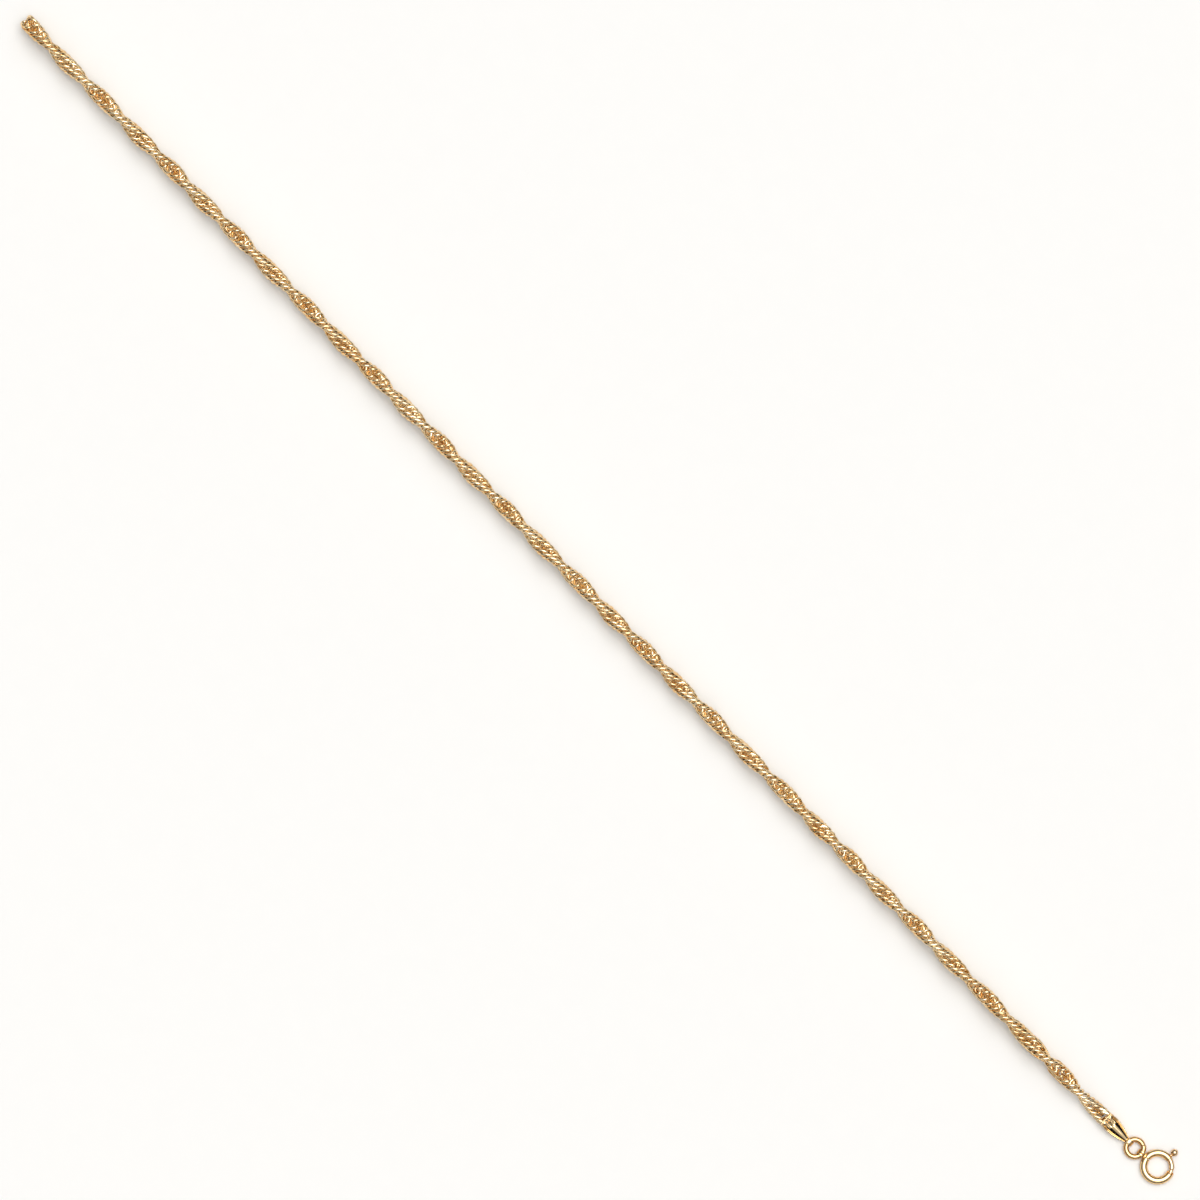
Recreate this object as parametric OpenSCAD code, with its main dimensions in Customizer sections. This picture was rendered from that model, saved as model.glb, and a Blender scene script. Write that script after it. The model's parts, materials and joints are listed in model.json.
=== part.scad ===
// Gold singapore chain necklace, laid double: one run in view, the other straight under it.
// X runs along the chain, from the fold to the clasp. The origin is the centre of the footprint.

/* [Chain] */
// Length of the upper run, from the fold to the mouth of its cap
run_len = 221.7; // [150:0.1:300]
// Width of the chain where its links lie flat
chain_w = 2.47; // [2.2:0.01:3]
// Thickness of the chain where its links lie flat
chain_t = 1.34; // [1.1:0.01:1.6]
// Length of half a turn of the twist, which is then fitted to the run
half_turn = 7.05; // [5:0.05:9]
// Length of the flat stretch in front of the cap
flat_lead = 1.8; // [1:0.1:3]
// Clearance between the upper run and the run under it
run_gap = 0.1; // [0.06:0.01:0.5]
// Length over which the upper run comes down to the surface
drop_len = 17; // [14:0.5:30]
// Half-turns by which the lower run is shorter than the upper one
turns_short = 2; // [2:1:6]
// Length over which the lower run comes down to its cap
tail_drop_len = 6; // [4:0.5:12]

/* [End caps] */
// Length of a cap, from its mouth to the centre of its eye
cap_len = 4.9; // [4:0.1:7]
// Width of a cap where it is widest
cap_w = 2.4; // [2.2:0.05:3]
// Wall of a cap over and under the chain
cap_wall = 0.27; // [0.2:0.01:0.4]
// Depth to which the chain goes into a cap
cap_grip = 1.0; // [0.6:0.1:1.5]
// Width of the rolled rim at the mouth of a cap
rim_w = 0.3; // [0.15:0.05:0.5]
// Height by which the rim stands out of the cap
rim_out = 0.06; // [0.02:0.01:0.1]
// Radius of an eye
eye_r = 0.65; // [0.6:0.01:0.8]
// Width of an eye
eye_w = 0.8; // [0.5:0.05:1.2]
// Clearance between the chain and the cap that holds it
grip_gap = 0.05; // [0.03:0.01:0.1]
// Clearance between an eye and the ring that passes through it
eye_gap = 0.05; // [0.04:0.01:0.1]

/* [Rings] */
// Outer diameter of the jump ring
jump_od = 3.3; // [2.9:0.1:4.5]
// Diameter of the jump ring's wire
jump_wire = 0.8; // [0.6:0.05:0.9]
// Length of the loop on the hidden end, over its wire
loop_len = 4.4; // [3.5:0.1:7]
// Width of the loop, over its wire
loop_w = 2.3; // [2:0.05:2.5]
// Diameter of the loop's wire
loop_wire = 0.6; // [0.4:0.05:0.7]

/* [Bolt ring] */
// Outer diameter of the bolt ring
ring_od = 5.1; // [4.9:0.1:7]
// Outer diameter of the ring's tube
tube_d = 1.08; // [1.05:0.01:1.2]
// Wall of the tube
tube_wall = 0.1; // [0.08:0.01:0.14]
// Clearance between the bolt and the tube's bore
bolt_gap = 0.05; // [0.03:0.01:0.08]
// Angle of the socket that the bolt's tip goes into, from the ring's outer end
socket_at = 20; // [10:1:25]
// Angle of the mouth that the bolt comes out of
mouth_at = 72; // [65:1:74]
// Angle of the trigger when the ring is shut
trigger_at = 79; // [79:1:84]
// Angle by which the trigger slides back
trigger_travel = 52; // [35:1:60]
// Angle of the bolt's tip inside the socket
bolt_in = 8; // [4:1:12]
// Angle of the bolt behind the trigger
bolt_tail = 25; // [15:1:40]
// Diameter of the trigger's ball
ball_d = 1.04; // [0.8:0.02:1.04]
// Distance of the ball's centre from the ring's centre
ball_at = 3.16; // [3.1:0.02:3.6]
// Diameter of the stem between the bolt and the ball
stem_d = 0.4; // [0.3:0.02:0.5]
// Clearance on each side of the stem in its slot
slot_gap = 0.07; // [0.05:0.01:0.1]
// Diameter of the neck between the tube and its eye
neck_d = 0.8; // [0.6:0.05:0.9]
// Angle by which the bolt ring has swung out of the chain's line
clasp_swing = 6.3; // [0:0.1:12]

/* [Hidden] */
$fn = 48;
FACETS_PER_HALF_TURN = 5;
FACETS_OF_FOLD = 6;
// Overshoot of a cut past the face that it opens, and half the step that a slope is taken over
OVER = 1;
SLOPE_STEP = 0.1;
// Diameter of the round form of a cap, as a share of its width
CAP_ROUND = 1.04;

// Outline of the chain's section: share of its width, share of its thickness
SECTION = [
    [0.5, 0.2], [0.3, 0.5], [-0.3, 0.5], [-0.5, 0.2],
    [-0.5, -0.2], [-0.3, -0.5], [0.3, -0.5], [0.5, -0.2],
];
// How far the twist runs ahead of an even one: share of the run's length, degrees
TWIST_DRIFT = [
    [0, 0], [0.06, -3], [0.10, -22], [0.125, -22], [0.15, -3], [0.21, 10], [0.30, -10],
    [0.37, 20], [0.46, 35], [0.53, 6], [0.56, 28], [0.65, 35], [0.72, 3], [0.78, 36],
    [0.87, 47], [0.93, 0], [1, 0],
];
// Outline of a cap from above: share of its length, share of its width
CAP_PLAN = [[0, 0.86], [0.12, 0.96], [0.28, 1], [0.45, 0.9], [0.7, 0.6], [0.9, 0.36]];
// Outline of a cap from its side: share of its length, share of its height
CAP_SIDE = [[0, 0.96], [0.15, 0.98], [0.4, 0.88], [0.7, 0.74], [0.9, 0.62]];

// The lower run lies on the surface all along, and the upper one on the crests of the lower one
edge_r = norm([SECTION[0][0] * chain_w, SECTION[0][1] * chain_t]);
upper_base = 2 * edge_r + run_gap;
fold_r = upper_base / 2;
fold_x = fold_r + chain_t / 2;

// The twist ends flat at the caps
twist_end = run_len - flat_lead;
turns = round((twist_end - fold_x) / half_turn);
turn_len = (twist_end - fold_x) / turns;
tail_mouth_x = fold_x + (turns - turns_short) * turn_len;

// A cap leans from its mouth down to its eye, and both rest on the surface
cap_h = chain_t + 2 * (grip_gap + cap_wall);
mouth_z = cap_h / 2 + rim_out;
cap_lean = asin((mouth_z - eye_r) / cap_len);
cap_reach = cap_len * cos(cap_lean);
slot_deep = cap_grip + grip_gap;

// The jump ring, and the bolt ring on it, lie level at the height of the eyes
jump_r = (jump_od - jump_wire) / 2;
jump_x = run_len + cap_reach + jump_r;
ring_r = (ring_od - tube_d) / 2;
bore_r = tube_d / 2 - tube_wall;
bolt_r = bore_r - bolt_gap;
lug_at = ring_od / 2 + eye_gap + jump_wire / 2;
ring_x = jump_x + (jump_r + lug_at) * cos(clasp_swing);
ring_y = (jump_r + lug_at) * sin(clasp_swing);
slot_end = trigger_at + trigger_travel + asin((stem_d / 2 + slot_gap) / ring_r);

// The loop on the hidden end leans down until its far end lies on the surface
loop_r = (loop_w - loop_wire) / 2;
loop_side = loop_len - loop_w;
loop_x = tail_mouth_x + cap_reach;
loop_lean = asin((eye_r - loop_wire / 2) / (loop_len - loop_wire));

// Centre of the footprint
ball_y = ring_y + ball_at * sin(trigger_at + clasp_swing);
footprint = [(ring_x + ring_od / 2) / 2, (ball_y + ball_d / 2 + ring_y - ring_od / 2) / 2, 0];

// Angle of the left-handed twist at x
function twist(x) =
    x <= fold_x ? 0 : x >= twist_end ? -180 * turns :
    -180 * (x - fold_x) / turn_len - lookup(x / run_len, TWIST_DRIFT) * min(1, (x - fold_x) / turn_len);

// How far the section reaches down from its middle at a given roll
function reach(roll) =
    max([for (p = SECTION) p[0] * chain_w * sin(roll) + p[1] * chain_t * cos(roll)]);

// Smooth way from height a to height b, which it reaches at the cap's lean
function drop(a, b, u, len) =
    a * (2 * u ^ 3 - 3 * u ^ 2 + 1) + b * (3 * u ^ 2 - 2 * u ^ 3) - len * tan(cap_lean) * (u ^ 3 - u ^ 2);

// Height of what a run lies on, which changes on the way to the mouth of its cap
function base_height(x, base, mouth_x, len) =
    x < mouth_x - len ? base :
    x < mouth_x ? drop(base, mouth_z - chain_t / 2, (x - mouth_x + len) / len, len) :
    mouth_z - chain_t / 2 - (x - mouth_x) * tan(cap_lean);

function upper_height(x) =
    base_height(x, upper_base, run_len, drop_len) + reach(twist(x));
function lower_height(x) =
    base_height(x, 0, tail_mouth_x, tail_drop_len) + reach(twist(min(x, tail_mouth_x)));
function slope(rise) = atan(rise / (2 * SLOPE_STEP));
function upper_slope(x) = slope(upper_height(x + SLOPE_STEP) - upper_height(x - SLOPE_STEP));
function lower_slope(x) = slope(lower_height(x + SLOPE_STEP) - lower_height(x - SLOPE_STEP));

// One ring of points round the middle [x, z], whose outer side looks along the angle out
function chain_ring(x, z, out, roll) = [
    for (p = SECTION)
        let (
            u = p[0] * chain_w * cos(roll) - p[1] * chain_t * sin(roll),
            v = p[0] * chain_w * sin(roll) + p[1] * chain_t * cos(roll)
        )
        [x + v * cos(out), u, z + v * sin(out)]
];

function upper_ring(x) = chain_ring(x, upper_height(x), 90 + upper_slope(x), twist(x));
function fold_ring(out) =
    chain_ring(fold_x + fold_r * cos(out), chain_t / 2 + fold_r + fold_r * sin(out), out, 0);
function lower_ring(x) =
    chain_ring(x, lower_height(x), 270 + lower_slope(x), -twist(min(x, tail_mouth_x)));

function steps(a, b, n) = [for (i = [0:n]) a + (b - a) * i / n];

// A closed skin over rings of points, which all have as many points
module skin(rings) {
    n = len(rings[0]);
    last = (len(rings) - 1) * n;
    sides = [
        for (i = [0:len(rings) - 2])
            for (j = [0:n - 1])
                let (a = i * n + j, b = i * n + (j + 1) % n)
                each [[a, b, b + n], [a, b + n, a + n]]
    ];
    polyhedron(
        points = [for (r = rings) each r],
        faces = concat([[for (j = [n - 1:-1:0]) j]], sides, [[for (j = [0:n - 1]) last + j]])
    );
}

module placed() {
    translate(-footprint) children();
}

module chain() {
    upper_n = turns * FACETS_PER_HALF_TURN;
    lower_n = (turns - turns_short) * FACETS_PER_HALF_TURN;
    in_cap = cap_grip * cos(cap_lean);
    upper = steps(run_len, fold_x, upper_n);
    fold = steps(90, 270, FACETS_OF_FOLD);
    lower = steps(fold_x, tail_mouth_x, lower_n);
    color("goldenrod")
        placed()
        skin(concat(
            [upper_ring(run_len + in_cap)],
            [for (i = [0:upper_n - 1]) upper_ring(upper[i])],
            [for (a = fold) fold_ring(a)],
            [for (i = [1:lower_n]) lower_ring(lower[i])],
            [lower_ring(tail_mouth_x + in_cap)]
        ));
}

// Half an outline as shares, made whole and turned into lengths
function outline(table, length, width) = concat(
    [for (p = table) [p[0] * length, p[1] * width / 2]],
    [for (i = [len(table) - 1:-1:0]) [table[i][0] * length, -table[i][1] * width / 2]]
);

// A cap with its mouth at the origin and its eye along +X
module leaf_cap() {
    mouth_w = CAP_PLAN[0][1] * cap_w + 2 * rim_out;
    mouth_h = CAP_SIDE[0][1] * cap_h + 2 * rim_out;
    difference() {
        union() {
            intersection() {
                translate([0, 0, -cap_h])
                    linear_extrude(2 * cap_h) polygon(outline(CAP_PLAN, cap_len, cap_w));
                rotate([90, 0, 0])
                    translate([0, 0, -cap_w])
                    linear_extrude(2 * cap_w) polygon(outline(CAP_SIDE, cap_len, cap_h));
                rotate([0, 90, 0]) cylinder(d = cap_w * CAP_ROUND, h = cap_len);
            }
            intersection() {
                translate([0, -mouth_w / 2, -mouth_h / 2]) cube([rim_w, mouth_w, mouth_h]);
                rotate([0, 90, 0]) cylinder(d = cap_w * CAP_ROUND + rim_out, h = rim_w);
            }
            translate([cap_len, 0, 0]) rotate([90, 0, 0])
                cylinder(r = eye_r, h = eye_w, center = true);
        }
        translate([-OVER, -cap_w, -chain_t / 2 - grip_gap])
            cube([OVER + slot_deep, 2 * cap_w, chain_t + 2 * grip_gap]);
    }
}

// A cap on the run whose mouth is at x, with its eye left open for the ring in it
module seated_cap(mouth_x) {
    difference() {
        translate([mouth_x, 0, mouth_z]) rotate([0, cap_lean, 0]) leaf_cap();
        children();
    }
}

module jump_torus(extra) {
    translate([jump_x, 0, eye_r])
        rotate_extrude() translate([jump_r, 0]) circle(d = jump_wire + 2 * extra);
}

// A long ring with its near end at the origin, along +X
module loop_body(extra) {
    d = loop_wire + 2 * extra;
    translate([loop_r, 0, 0])
        rotate_extrude(angle = 180, start = 90) translate([loop_r, 0]) circle(d = d);
    translate([loop_r + loop_side, 0, 0])
        rotate_extrude(angle = 180, start = -90) translate([loop_r, 0]) circle(d = d);
    for (side = [-1, 1])
        translate([loop_r, side * loop_r, 0]) rotate([0, 90, 0]) cylinder(d = d, h = loop_side);
}

module seated_loop(extra) {
    translate([loop_x, 0, eye_r]) rotate([0, loop_lean, 0]) loop_body(extra);
}

module end_cap() {
    color("gold") placed() seated_cap(run_len) jump_torus(eye_gap);
}

module tail_cap() {
    color("gold") placed() seated_cap(tail_mouth_x) seated_loop(eye_gap);
}

module jump_ring() {
    color("goldenrod") placed() jump_torus(0);
}

module tail_loop() {
    color("goldenrod") placed() seated_loop(0);
}

// A stretch of round tube or wire along the bolt ring's circle
module ring_arc(from, to, r) {
    rotate_extrude(angle = to - from, start = from) translate([ring_r, 0]) circle(r = r);
}

module at_ring() {
    placed() translate([ring_x, ring_y, eye_r]) rotate(clasp_swing) children();
}

module bolt_ring() {
    color("gold") difference() {
        at_ring() difference() {
            union() {
                ring_arc(mouth_at, 360 + socket_at, tube_d / 2);
                translate([-lug_at, 0, 0]) {
                    rotate([90, 0, 0]) cylinder(r = eye_r, h = eye_w, center = true);
                    rotate([0, 90, 0]) cylinder(d = neck_d, h = lug_at - ring_r);
                }
            }
            ring_arc(mouth_at - OVER, 360 + socket_at + OVER, bore_r);
            rotate_extrude(angle = slot_end - mouth_at + OVER, start = mouth_at - OVER)
                translate([ring_r, -stem_d / 2 - slot_gap])
                square([tube_d, stem_d + 2 * slot_gap]);
        }
        placed() jump_torus(eye_gap);
    }
}

module bolt() {
    tip = socket_at - bolt_in;
    color("khaki") at_ring() {
        ring_arc(tip, trigger_at + bolt_tail, bolt_r);
        rotate(tip) translate([ring_r, 0, 0]) sphere(r = bolt_r);
        rotate(trigger_at) {
            translate([ring_r, 0, 0]) rotate([0, 90, 0]) cylinder(d = stem_d, h = ball_at - ring_r);
            translate([ball_at, 0, 0]) sphere(d = ball_d);
        }
    }
}

chain();
end_cap();
jump_ring();
bolt_ring();
bolt();
tail_cap();
tail_loop();
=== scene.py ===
# Gold singapore chain necklace, laid double in a straight line, with a bolt ring clasp.
# The dictionaries hold millimetres and degrees. Meshes are scaled to metres as they are made.

import json
import math

import bpy
import numpy as np
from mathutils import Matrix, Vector


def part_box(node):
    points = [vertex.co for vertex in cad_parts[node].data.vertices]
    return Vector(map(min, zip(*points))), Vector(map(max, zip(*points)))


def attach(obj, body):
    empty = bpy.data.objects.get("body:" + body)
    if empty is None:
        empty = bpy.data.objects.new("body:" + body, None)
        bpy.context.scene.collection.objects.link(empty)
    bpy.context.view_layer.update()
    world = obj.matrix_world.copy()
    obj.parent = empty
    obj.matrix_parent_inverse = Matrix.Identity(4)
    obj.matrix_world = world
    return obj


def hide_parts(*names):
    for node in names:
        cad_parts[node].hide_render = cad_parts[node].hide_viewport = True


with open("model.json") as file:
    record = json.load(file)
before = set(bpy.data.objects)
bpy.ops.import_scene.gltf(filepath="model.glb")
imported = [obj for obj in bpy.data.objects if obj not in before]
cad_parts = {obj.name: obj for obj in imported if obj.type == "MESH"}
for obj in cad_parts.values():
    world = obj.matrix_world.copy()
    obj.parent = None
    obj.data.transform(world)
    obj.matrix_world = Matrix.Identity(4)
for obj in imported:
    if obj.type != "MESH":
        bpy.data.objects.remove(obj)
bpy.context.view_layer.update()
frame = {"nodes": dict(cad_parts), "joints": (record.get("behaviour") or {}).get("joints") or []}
print("frame loaded:", len(frame["nodes"]), "nodes")

mm = 0.001


# Camera, looking straight down with the chain on the picture's diagonal

cameraSpec = {
    "viewWidth": 172.44,  # across the picture, at the height of aimHeight
    "distance": 1600.0,
    "sensor": 36.0,
    "aim": (0.366, -0.543),  # what the middle of the picture looks at
    "aimHeight": 2.6,
    "turn": 45.451,  # of the picture about the line of sight
    "clip": (0.05, 50.0),  # metres
}


def makeCamera(spec):
    data = bpy.data.cameras.new("photoCamera")
    data.sensor_width = spec["sensor"]
    data.lens = spec["sensor"] * spec["distance"] / spec["viewWidth"]
    data.clip_start, data.clip_end = spec["clip"]
    camera = bpy.data.objects.new("photoCamera", data)
    height = spec["distance"] + spec["aimHeight"]
    camera.location = (spec["aim"][0] * mm, spec["aim"][1] * mm, height * mm)
    camera.rotation_euler = (0.0, 0.0, math.radians(spec["turn"]))
    bpy.context.scene.collection.objects.link(camera)
    bpy.context.scene.camera = camera


makeCamera(cameraSpec)
print("camera set")


# Materials

def newMaterial(name):
    material = bpy.data.materials.new(name)
    material.use_nodes = True
    nodes = material.node_tree.nodes
    nodes.clear()
    output = nodes.new("ShaderNodeOutputMaterial")
    shader = nodes.new("ShaderNodeBsdfPrincipled")
    material.node_tree.links.new(shader.outputs["BSDF"], output.inputs["Surface"])
    return material, nodes, material.node_tree.links, shader


def noiseNode(nodes, links, coords, scale, detail, stretch=(1, 1, 1)):
    mapping = nodes.new("ShaderNodeMapping")
    mapping.inputs["Scale"].default_value = stretch
    links.new(coords.outputs["Object"], mapping.inputs["Vector"])
    noise = nodes.new("ShaderNodeTexNoise")
    noise.inputs["Scale"].default_value = scale
    noise.inputs["Detail"].default_value = detail
    links.new(mapping.outputs["Vector"], noise.inputs["Vector"])
    return noise


noiseReach = (0.3, 0.7)  # values between which nearly all of a noise lies


def rangeNode(nodes, links, source, low, high):
    ranged = nodes.new("ShaderNodeMapRange")
    ranged.inputs["From Min"].default_value = noiseReach[0]
    ranged.inputs["From Max"].default_value = noiseReach[1]
    ranged.inputs["To Min"].default_value = low
    ranged.inputs["To Max"].default_value = high
    links.new(source.outputs["Fac"], ranged.inputs["Value"])
    return ranged


def bumpNode(nodes, links, source, depth):
    bump = nodes.new("ShaderNodeBump")
    bump.inputs["Strength"].default_value = 1.0
    bump.inputs["Distance"].default_value = depth * mm
    links.new(source.outputs["Fac"], bump.inputs["Height"])
    return bump


# Stretch of the scratches' noise
alongChain = (0.12, 1.0, 1.0)
anyWay = (1.0, 1.0, 1.0)

# Scale in cells a metre, and detail, of each noise in the gold
goldNoises = {
    "tone": (420.0, 3.0),
    "polish": (900.0, 4.0),
    "dents": (650.0, 2.0),
    "scratches": (5200.0, 2.0),
}

# Two close tones, roughness from and to, depth of dents and scratches, way of the scratches
goldSpecs = {
    "drawnWireGold": {
        "light": (0.96, 0.81, 0.55), "deep": (0.86, 0.63, 0.34), "polish": (0.06, 0.13),
        "dents": 0.03, "scratches": 0.003, "scratchWay": anyWay,
    },
    "pressedSheetGold": {
        "light": (0.92, 0.73, 0.45), "deep": (0.85, 0.62, 0.34), "polish": (0.04, 0.08),
        "dents": 0.012, "scratches": 0.002, "scratchWay": alongChain,
    },
    "solderedRingGold": {
        "light": (0.81, 0.57, 0.29), "deep": (0.71, 0.45, 0.21), "polish": (0.06, 0.12),
        "dents": 0.03, "scratches": 0.002, "scratchWay": anyWay,
    },
    "drawnTubeGold": {
        "light": (0.89, 0.65, 0.35), "deep": (0.80, 0.54, 0.25), "polish": (0.04, 0.09),
        "dents": 0.02, "scratches": 0.002, "scratchWay": anyWay,
    },
    "springBoltGold": {
        "light": (0.85, 0.64, 0.41), "deep": (0.75, 0.52, 0.30), "polish": (0.05, 0.11),
        "dents": 0.02, "scratches": 0.002, "scratchWay": anyWay,
    },
}
ruddyEdge = (0.78, 0.44, 0.18)  # what the gold turns to at a flat angle
toneStops = (0.36, 0.62)  # values of the tone's noise for the deep and the light tone


# Polished gold: two close tones, a patchy polish, fine drawn scratches and soft dents
def goldMaterial(name):
    spec = goldSpecs[name]
    material, nodes, links, shader = newMaterial(name)
    shader.inputs["Metallic"].default_value = 1.0
    shader.inputs["Specular Tint"].default_value = (*ruddyEdge, 1.0)
    coords = nodes.new("ShaderNodeTexCoord")
    tone = noiseNode(nodes, links, coords, *goldNoises["tone"])
    ramp = nodes.new("ShaderNodeValToRGB")
    for element, position, color in zip(ramp.color_ramp.elements, toneStops, (spec["deep"], spec["light"])):
        element.position = position
        element.color = (*color, 1.0)
    links.new(tone.outputs["Fac"], ramp.inputs["Fac"])
    links.new(ramp.outputs["Color"], shader.inputs["Base Color"])
    patches = noiseNode(nodes, links, coords, *goldNoises["polish"])
    rough = rangeNode(nodes, links, patches, *spec["polish"])
    links.new(rough.outputs["Result"], shader.inputs["Roughness"])
    soft = noiseNode(nodes, links, coords, *goldNoises["dents"])
    fine = noiseNode(nodes, links, coords, *goldNoises["scratches"], spec["scratchWay"])
    softBump = bumpNode(nodes, links, soft, spec["dents"])
    fineBump = bumpNode(nodes, links, fine, spec["scratches"])
    links.new(softBump.outputs["Normal"], fineBump.inputs["Normal"])
    links.new(fineBump.outputs["Normal"], shader.inputs["Normal"])
    return material


linkGold = goldMaterial("drawnWireGold")
capGold = goldMaterial("pressedSheetGold")
ringGold = goldMaterial("solderedRingGold")
claspGold = goldMaterial("drawnTubeGold")
boltGold = goldMaterial("springBoltGold")
print("gold materials made")


# Mesh helpers: points are in millimetres in the frame's own axes

sharpCorner = math.radians(55)  # edges that turn by more stay sharp


def addPiece(name, points, faces, material, body, nodes):
    mesh = bpy.data.meshes.new(name)
    mesh.from_pydata((np.asarray(points, float) * mm).tolist(), [], faces)
    mesh.validate()
    mesh.polygons.foreach_set("use_smooth", [True] * len(mesh.polygons))
    mesh.set_sharp_from_angle(angle=sharpCorner)
    mesh.materials.append(material)
    piece = bpy.data.objects.new(name, mesh)
    bpy.context.scene.collection.objects.link(piece)
    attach(piece, body)
    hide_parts(*nodes)


# Quads between rows of points, as index lists. A closed row joins its last point to its first
def gridFaces(rows, columns, closedRows, closedColumns, start=0):
    faces = []
    for i in range(rows if closedRows else rows - 1):
        for j in range(columns if closedColumns else columns - 1):
            a = start + i * columns + j
            b = start + i * columns + (j + 1) % columns
            c = start + (i + 1) % rows * columns + (j + 1) % columns
            d = start + (i + 1) % rows * columns + j
            faces.append((a, b, c, d))
    return faces


# Joins meshes, each given as its points and faces, into one
def joined(*parts):
    points = []
    faces = []
    for partPoints, partFaces in parts:
        start = sum(len(earlier) for earlier in points)
        points.append(partPoints)
        faces += [tuple(i + start for i in face) for face in partFaces]
    return np.vstack(points), faces


def turnedFlat(points, degrees):
    turn = math.radians(degrees)
    points = np.asarray(points, float)
    x = points[:, 0] * math.cos(turn) - points[:, 1] * math.sin(turn)
    y = points[:, 0] * math.sin(turn) + points[:, 1] * math.cos(turn)
    return np.stack([x, y, points[:, 2]], -1)


def smoothStep(u):
    return u * u * (3 - 2 * u)


# The chain: a route for the flat ribbon that the links make, and links woven along it

chainSpec = {
    "runLength": 221.7,  # upper run, from the fold to the mouth of its cap
    "width": 2.47,  # of the ribbon, over its links
    "thickness": 1.34,
    "runGap": 0.1,  # between the two runs
    "flatLead": 1.8,  # flat stretch in front of the upper cap
    "halfTurns": 31,  # in the upper run
    "halfTurnsShort": 2,  # by which the lower run is shorter
    "dropLength": 17.0,  # over which the upper run comes down
    "tailDropLength": 6.0,
    "grip": 2.2,  # depth in a cap, where the last link is soldered in
    "pitch": 1.206,  # from link to link
    "crowding": 0.5,  # share by which the links are closer at a cap
    "crowdedOver": 2.0,  # length over which that fades
    "wire": 0.39,
    "halfLink": 1.688,  # from a link's middle to the middle of its wire at the end
    "linkTwist": -20.7,  # degrees a millimetre, the same way as the ribbon's own twist
    "linkSlant": -0.254,  # sideways for each millimetre along
    "linkBreadth": 0.824,  # share of the ribbon's width
    "narrowing": 0.268,  # share of its width by which a link is narrower towards the clasp
    "saddle": 0.33,  # height of its ends over its middle
    "linkLean": 0.12,  # height of the end nearest the clasp
    "facet": 0.66,  # half of the thickness to which the links are cut flat and bright
    "segments": 40,  # round a link
    "sides": 12,  # round its wire
    "shake": 2.0,  # small turns that the links have taken by themselves
    "seed": 4,
    "steps": 20001,  # for finding the places of the links
}

# Outline of the ribbon's section: share of its width, share of its thickness
ribbonSection = [
    (0.5, 0.2), (0.3, 0.5), (-0.3, 0.5), (-0.5, 0.2),
    (-0.5, -0.2), (-0.3, -0.5), (0.3, -0.5), (0.5, -0.2),
]
# How far the twist runs ahead of an even one: share of the run's length, degrees
twistDrift = [
    (0, 0), (0.06, -3), (0.10, -22), (0.125, -22), (0.15, -3), (0.21, 10), (0.30, -10),
    (0.37, 20), (0.46, 35), (0.53, 6), (0.56, 28), (0.65, 35), (0.72, 3), (0.78, 36),
    (0.87, 47), (0.93, 0), (1, 0),
]

capSpec = {
    "length": 4.9,  # from its mouth to the middle of its eye
    "width": 2.4,
    "wall": 0.27,  # over and under the chain
    "gripGap": 0.05,  # between the chain and the wall
    "rimOut": 0.06,  # by which its rim holds it off the floor
    "beadWidth": 0.26,  # of the bead round the edge, where the cap is widest
    "beadHeight": 0.17,
    "slopeWidth": 0.48,  # of the steep slope inside the bead
    "slopeAngle": 36.6,
    "crown": 0.17,  # greatest height of the soft ridge over the slopes
    "crownShares": (0.12, 0.5),  # of the depth inside the bead: at the mouth, and gained behind it
    "leastRidge": 0.05,  # half of its least width
    "cornerRadius": 0.2,  # of the mouth, seen from above
    "slotDepth": 0.6,  # for the chain
    "fadeFrom": 0.12,  # length from the mouth at which the cap starts to get flatter at its edges
    "fade": 0.75,  # length over which it does, inside its bead
    "beadFade": 1.4,  # and at its bead
    "thinnest": 0.06,  # wall over the slot
    "flutePitch": 0.36,  # of the flutes at the mouth
    "fluteDepth": 0.14,
    "fluteBelow": 0.01,  # by which they may go below the foot of the slopes
    "fluteSharpness": 0.99,
    "fluteStart": 0.1,  # length over which they start behind the bead
    "fluteEnd": 1.8,
    "fluteFade": 0.6,
    "fluteOver": 0.16,  # by which they reach over the slopes
    "innerShare": 0.6,  # height inside the solid part, where nothing shows
    "bodyEnd": 4.45,
    "eyeRadius": 0.65,
    "eyeWidth": 0.8,
    "plan": [(0, 0.82), (0.12, 0.95), (0.28, 1.0), (0.45, 0.94), (0.6, 0.8), (0.75, 0.6), (0.9, 0.38)],
    "side": [(0, 0.96), (0.15, 0.98), (0.4, 0.88), (0.7, 0.74), (0.9, 0.62)],
}

capHeight = chainSpec["thickness"] + 2 * (capSpec["gripGap"] + capSpec["wall"])
mouthHeight = capHeight / 2 + capSpec["rimOut"]
capLean = math.asin((mouthHeight - capSpec["eyeRadius"]) / capSpec["length"])

chainLow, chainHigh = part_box("chain")
foldEnd = chainLow.x / mm
chainLine = (chainLow.y + chainHigh.y) / 2 / mm

edgeReach = math.hypot(ribbonSection[0][0] * chainSpec["width"], ribbonSection[0][1] * chainSpec["thickness"])
upperBase = 2 * edgeReach + chainSpec["runGap"]
foldRadius = upperBase / 2
foldX = foldRadius + chainSpec["thickness"] / 2  # length from the fold's outside to the middle of its bend
twistEnd = chainSpec["runLength"] - chainSpec["flatLead"]
halfTurn = (twistEnd - foldX) / chainSpec["halfTurns"]
tailMouthX = foldX + (chainSpec["halfTurns"] - chainSpec["halfTurnsShort"]) * halfTurn
halfFold = math.pi / 2 * foldRadius  # length of the ribbon from the middle of the fold to its end


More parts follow.
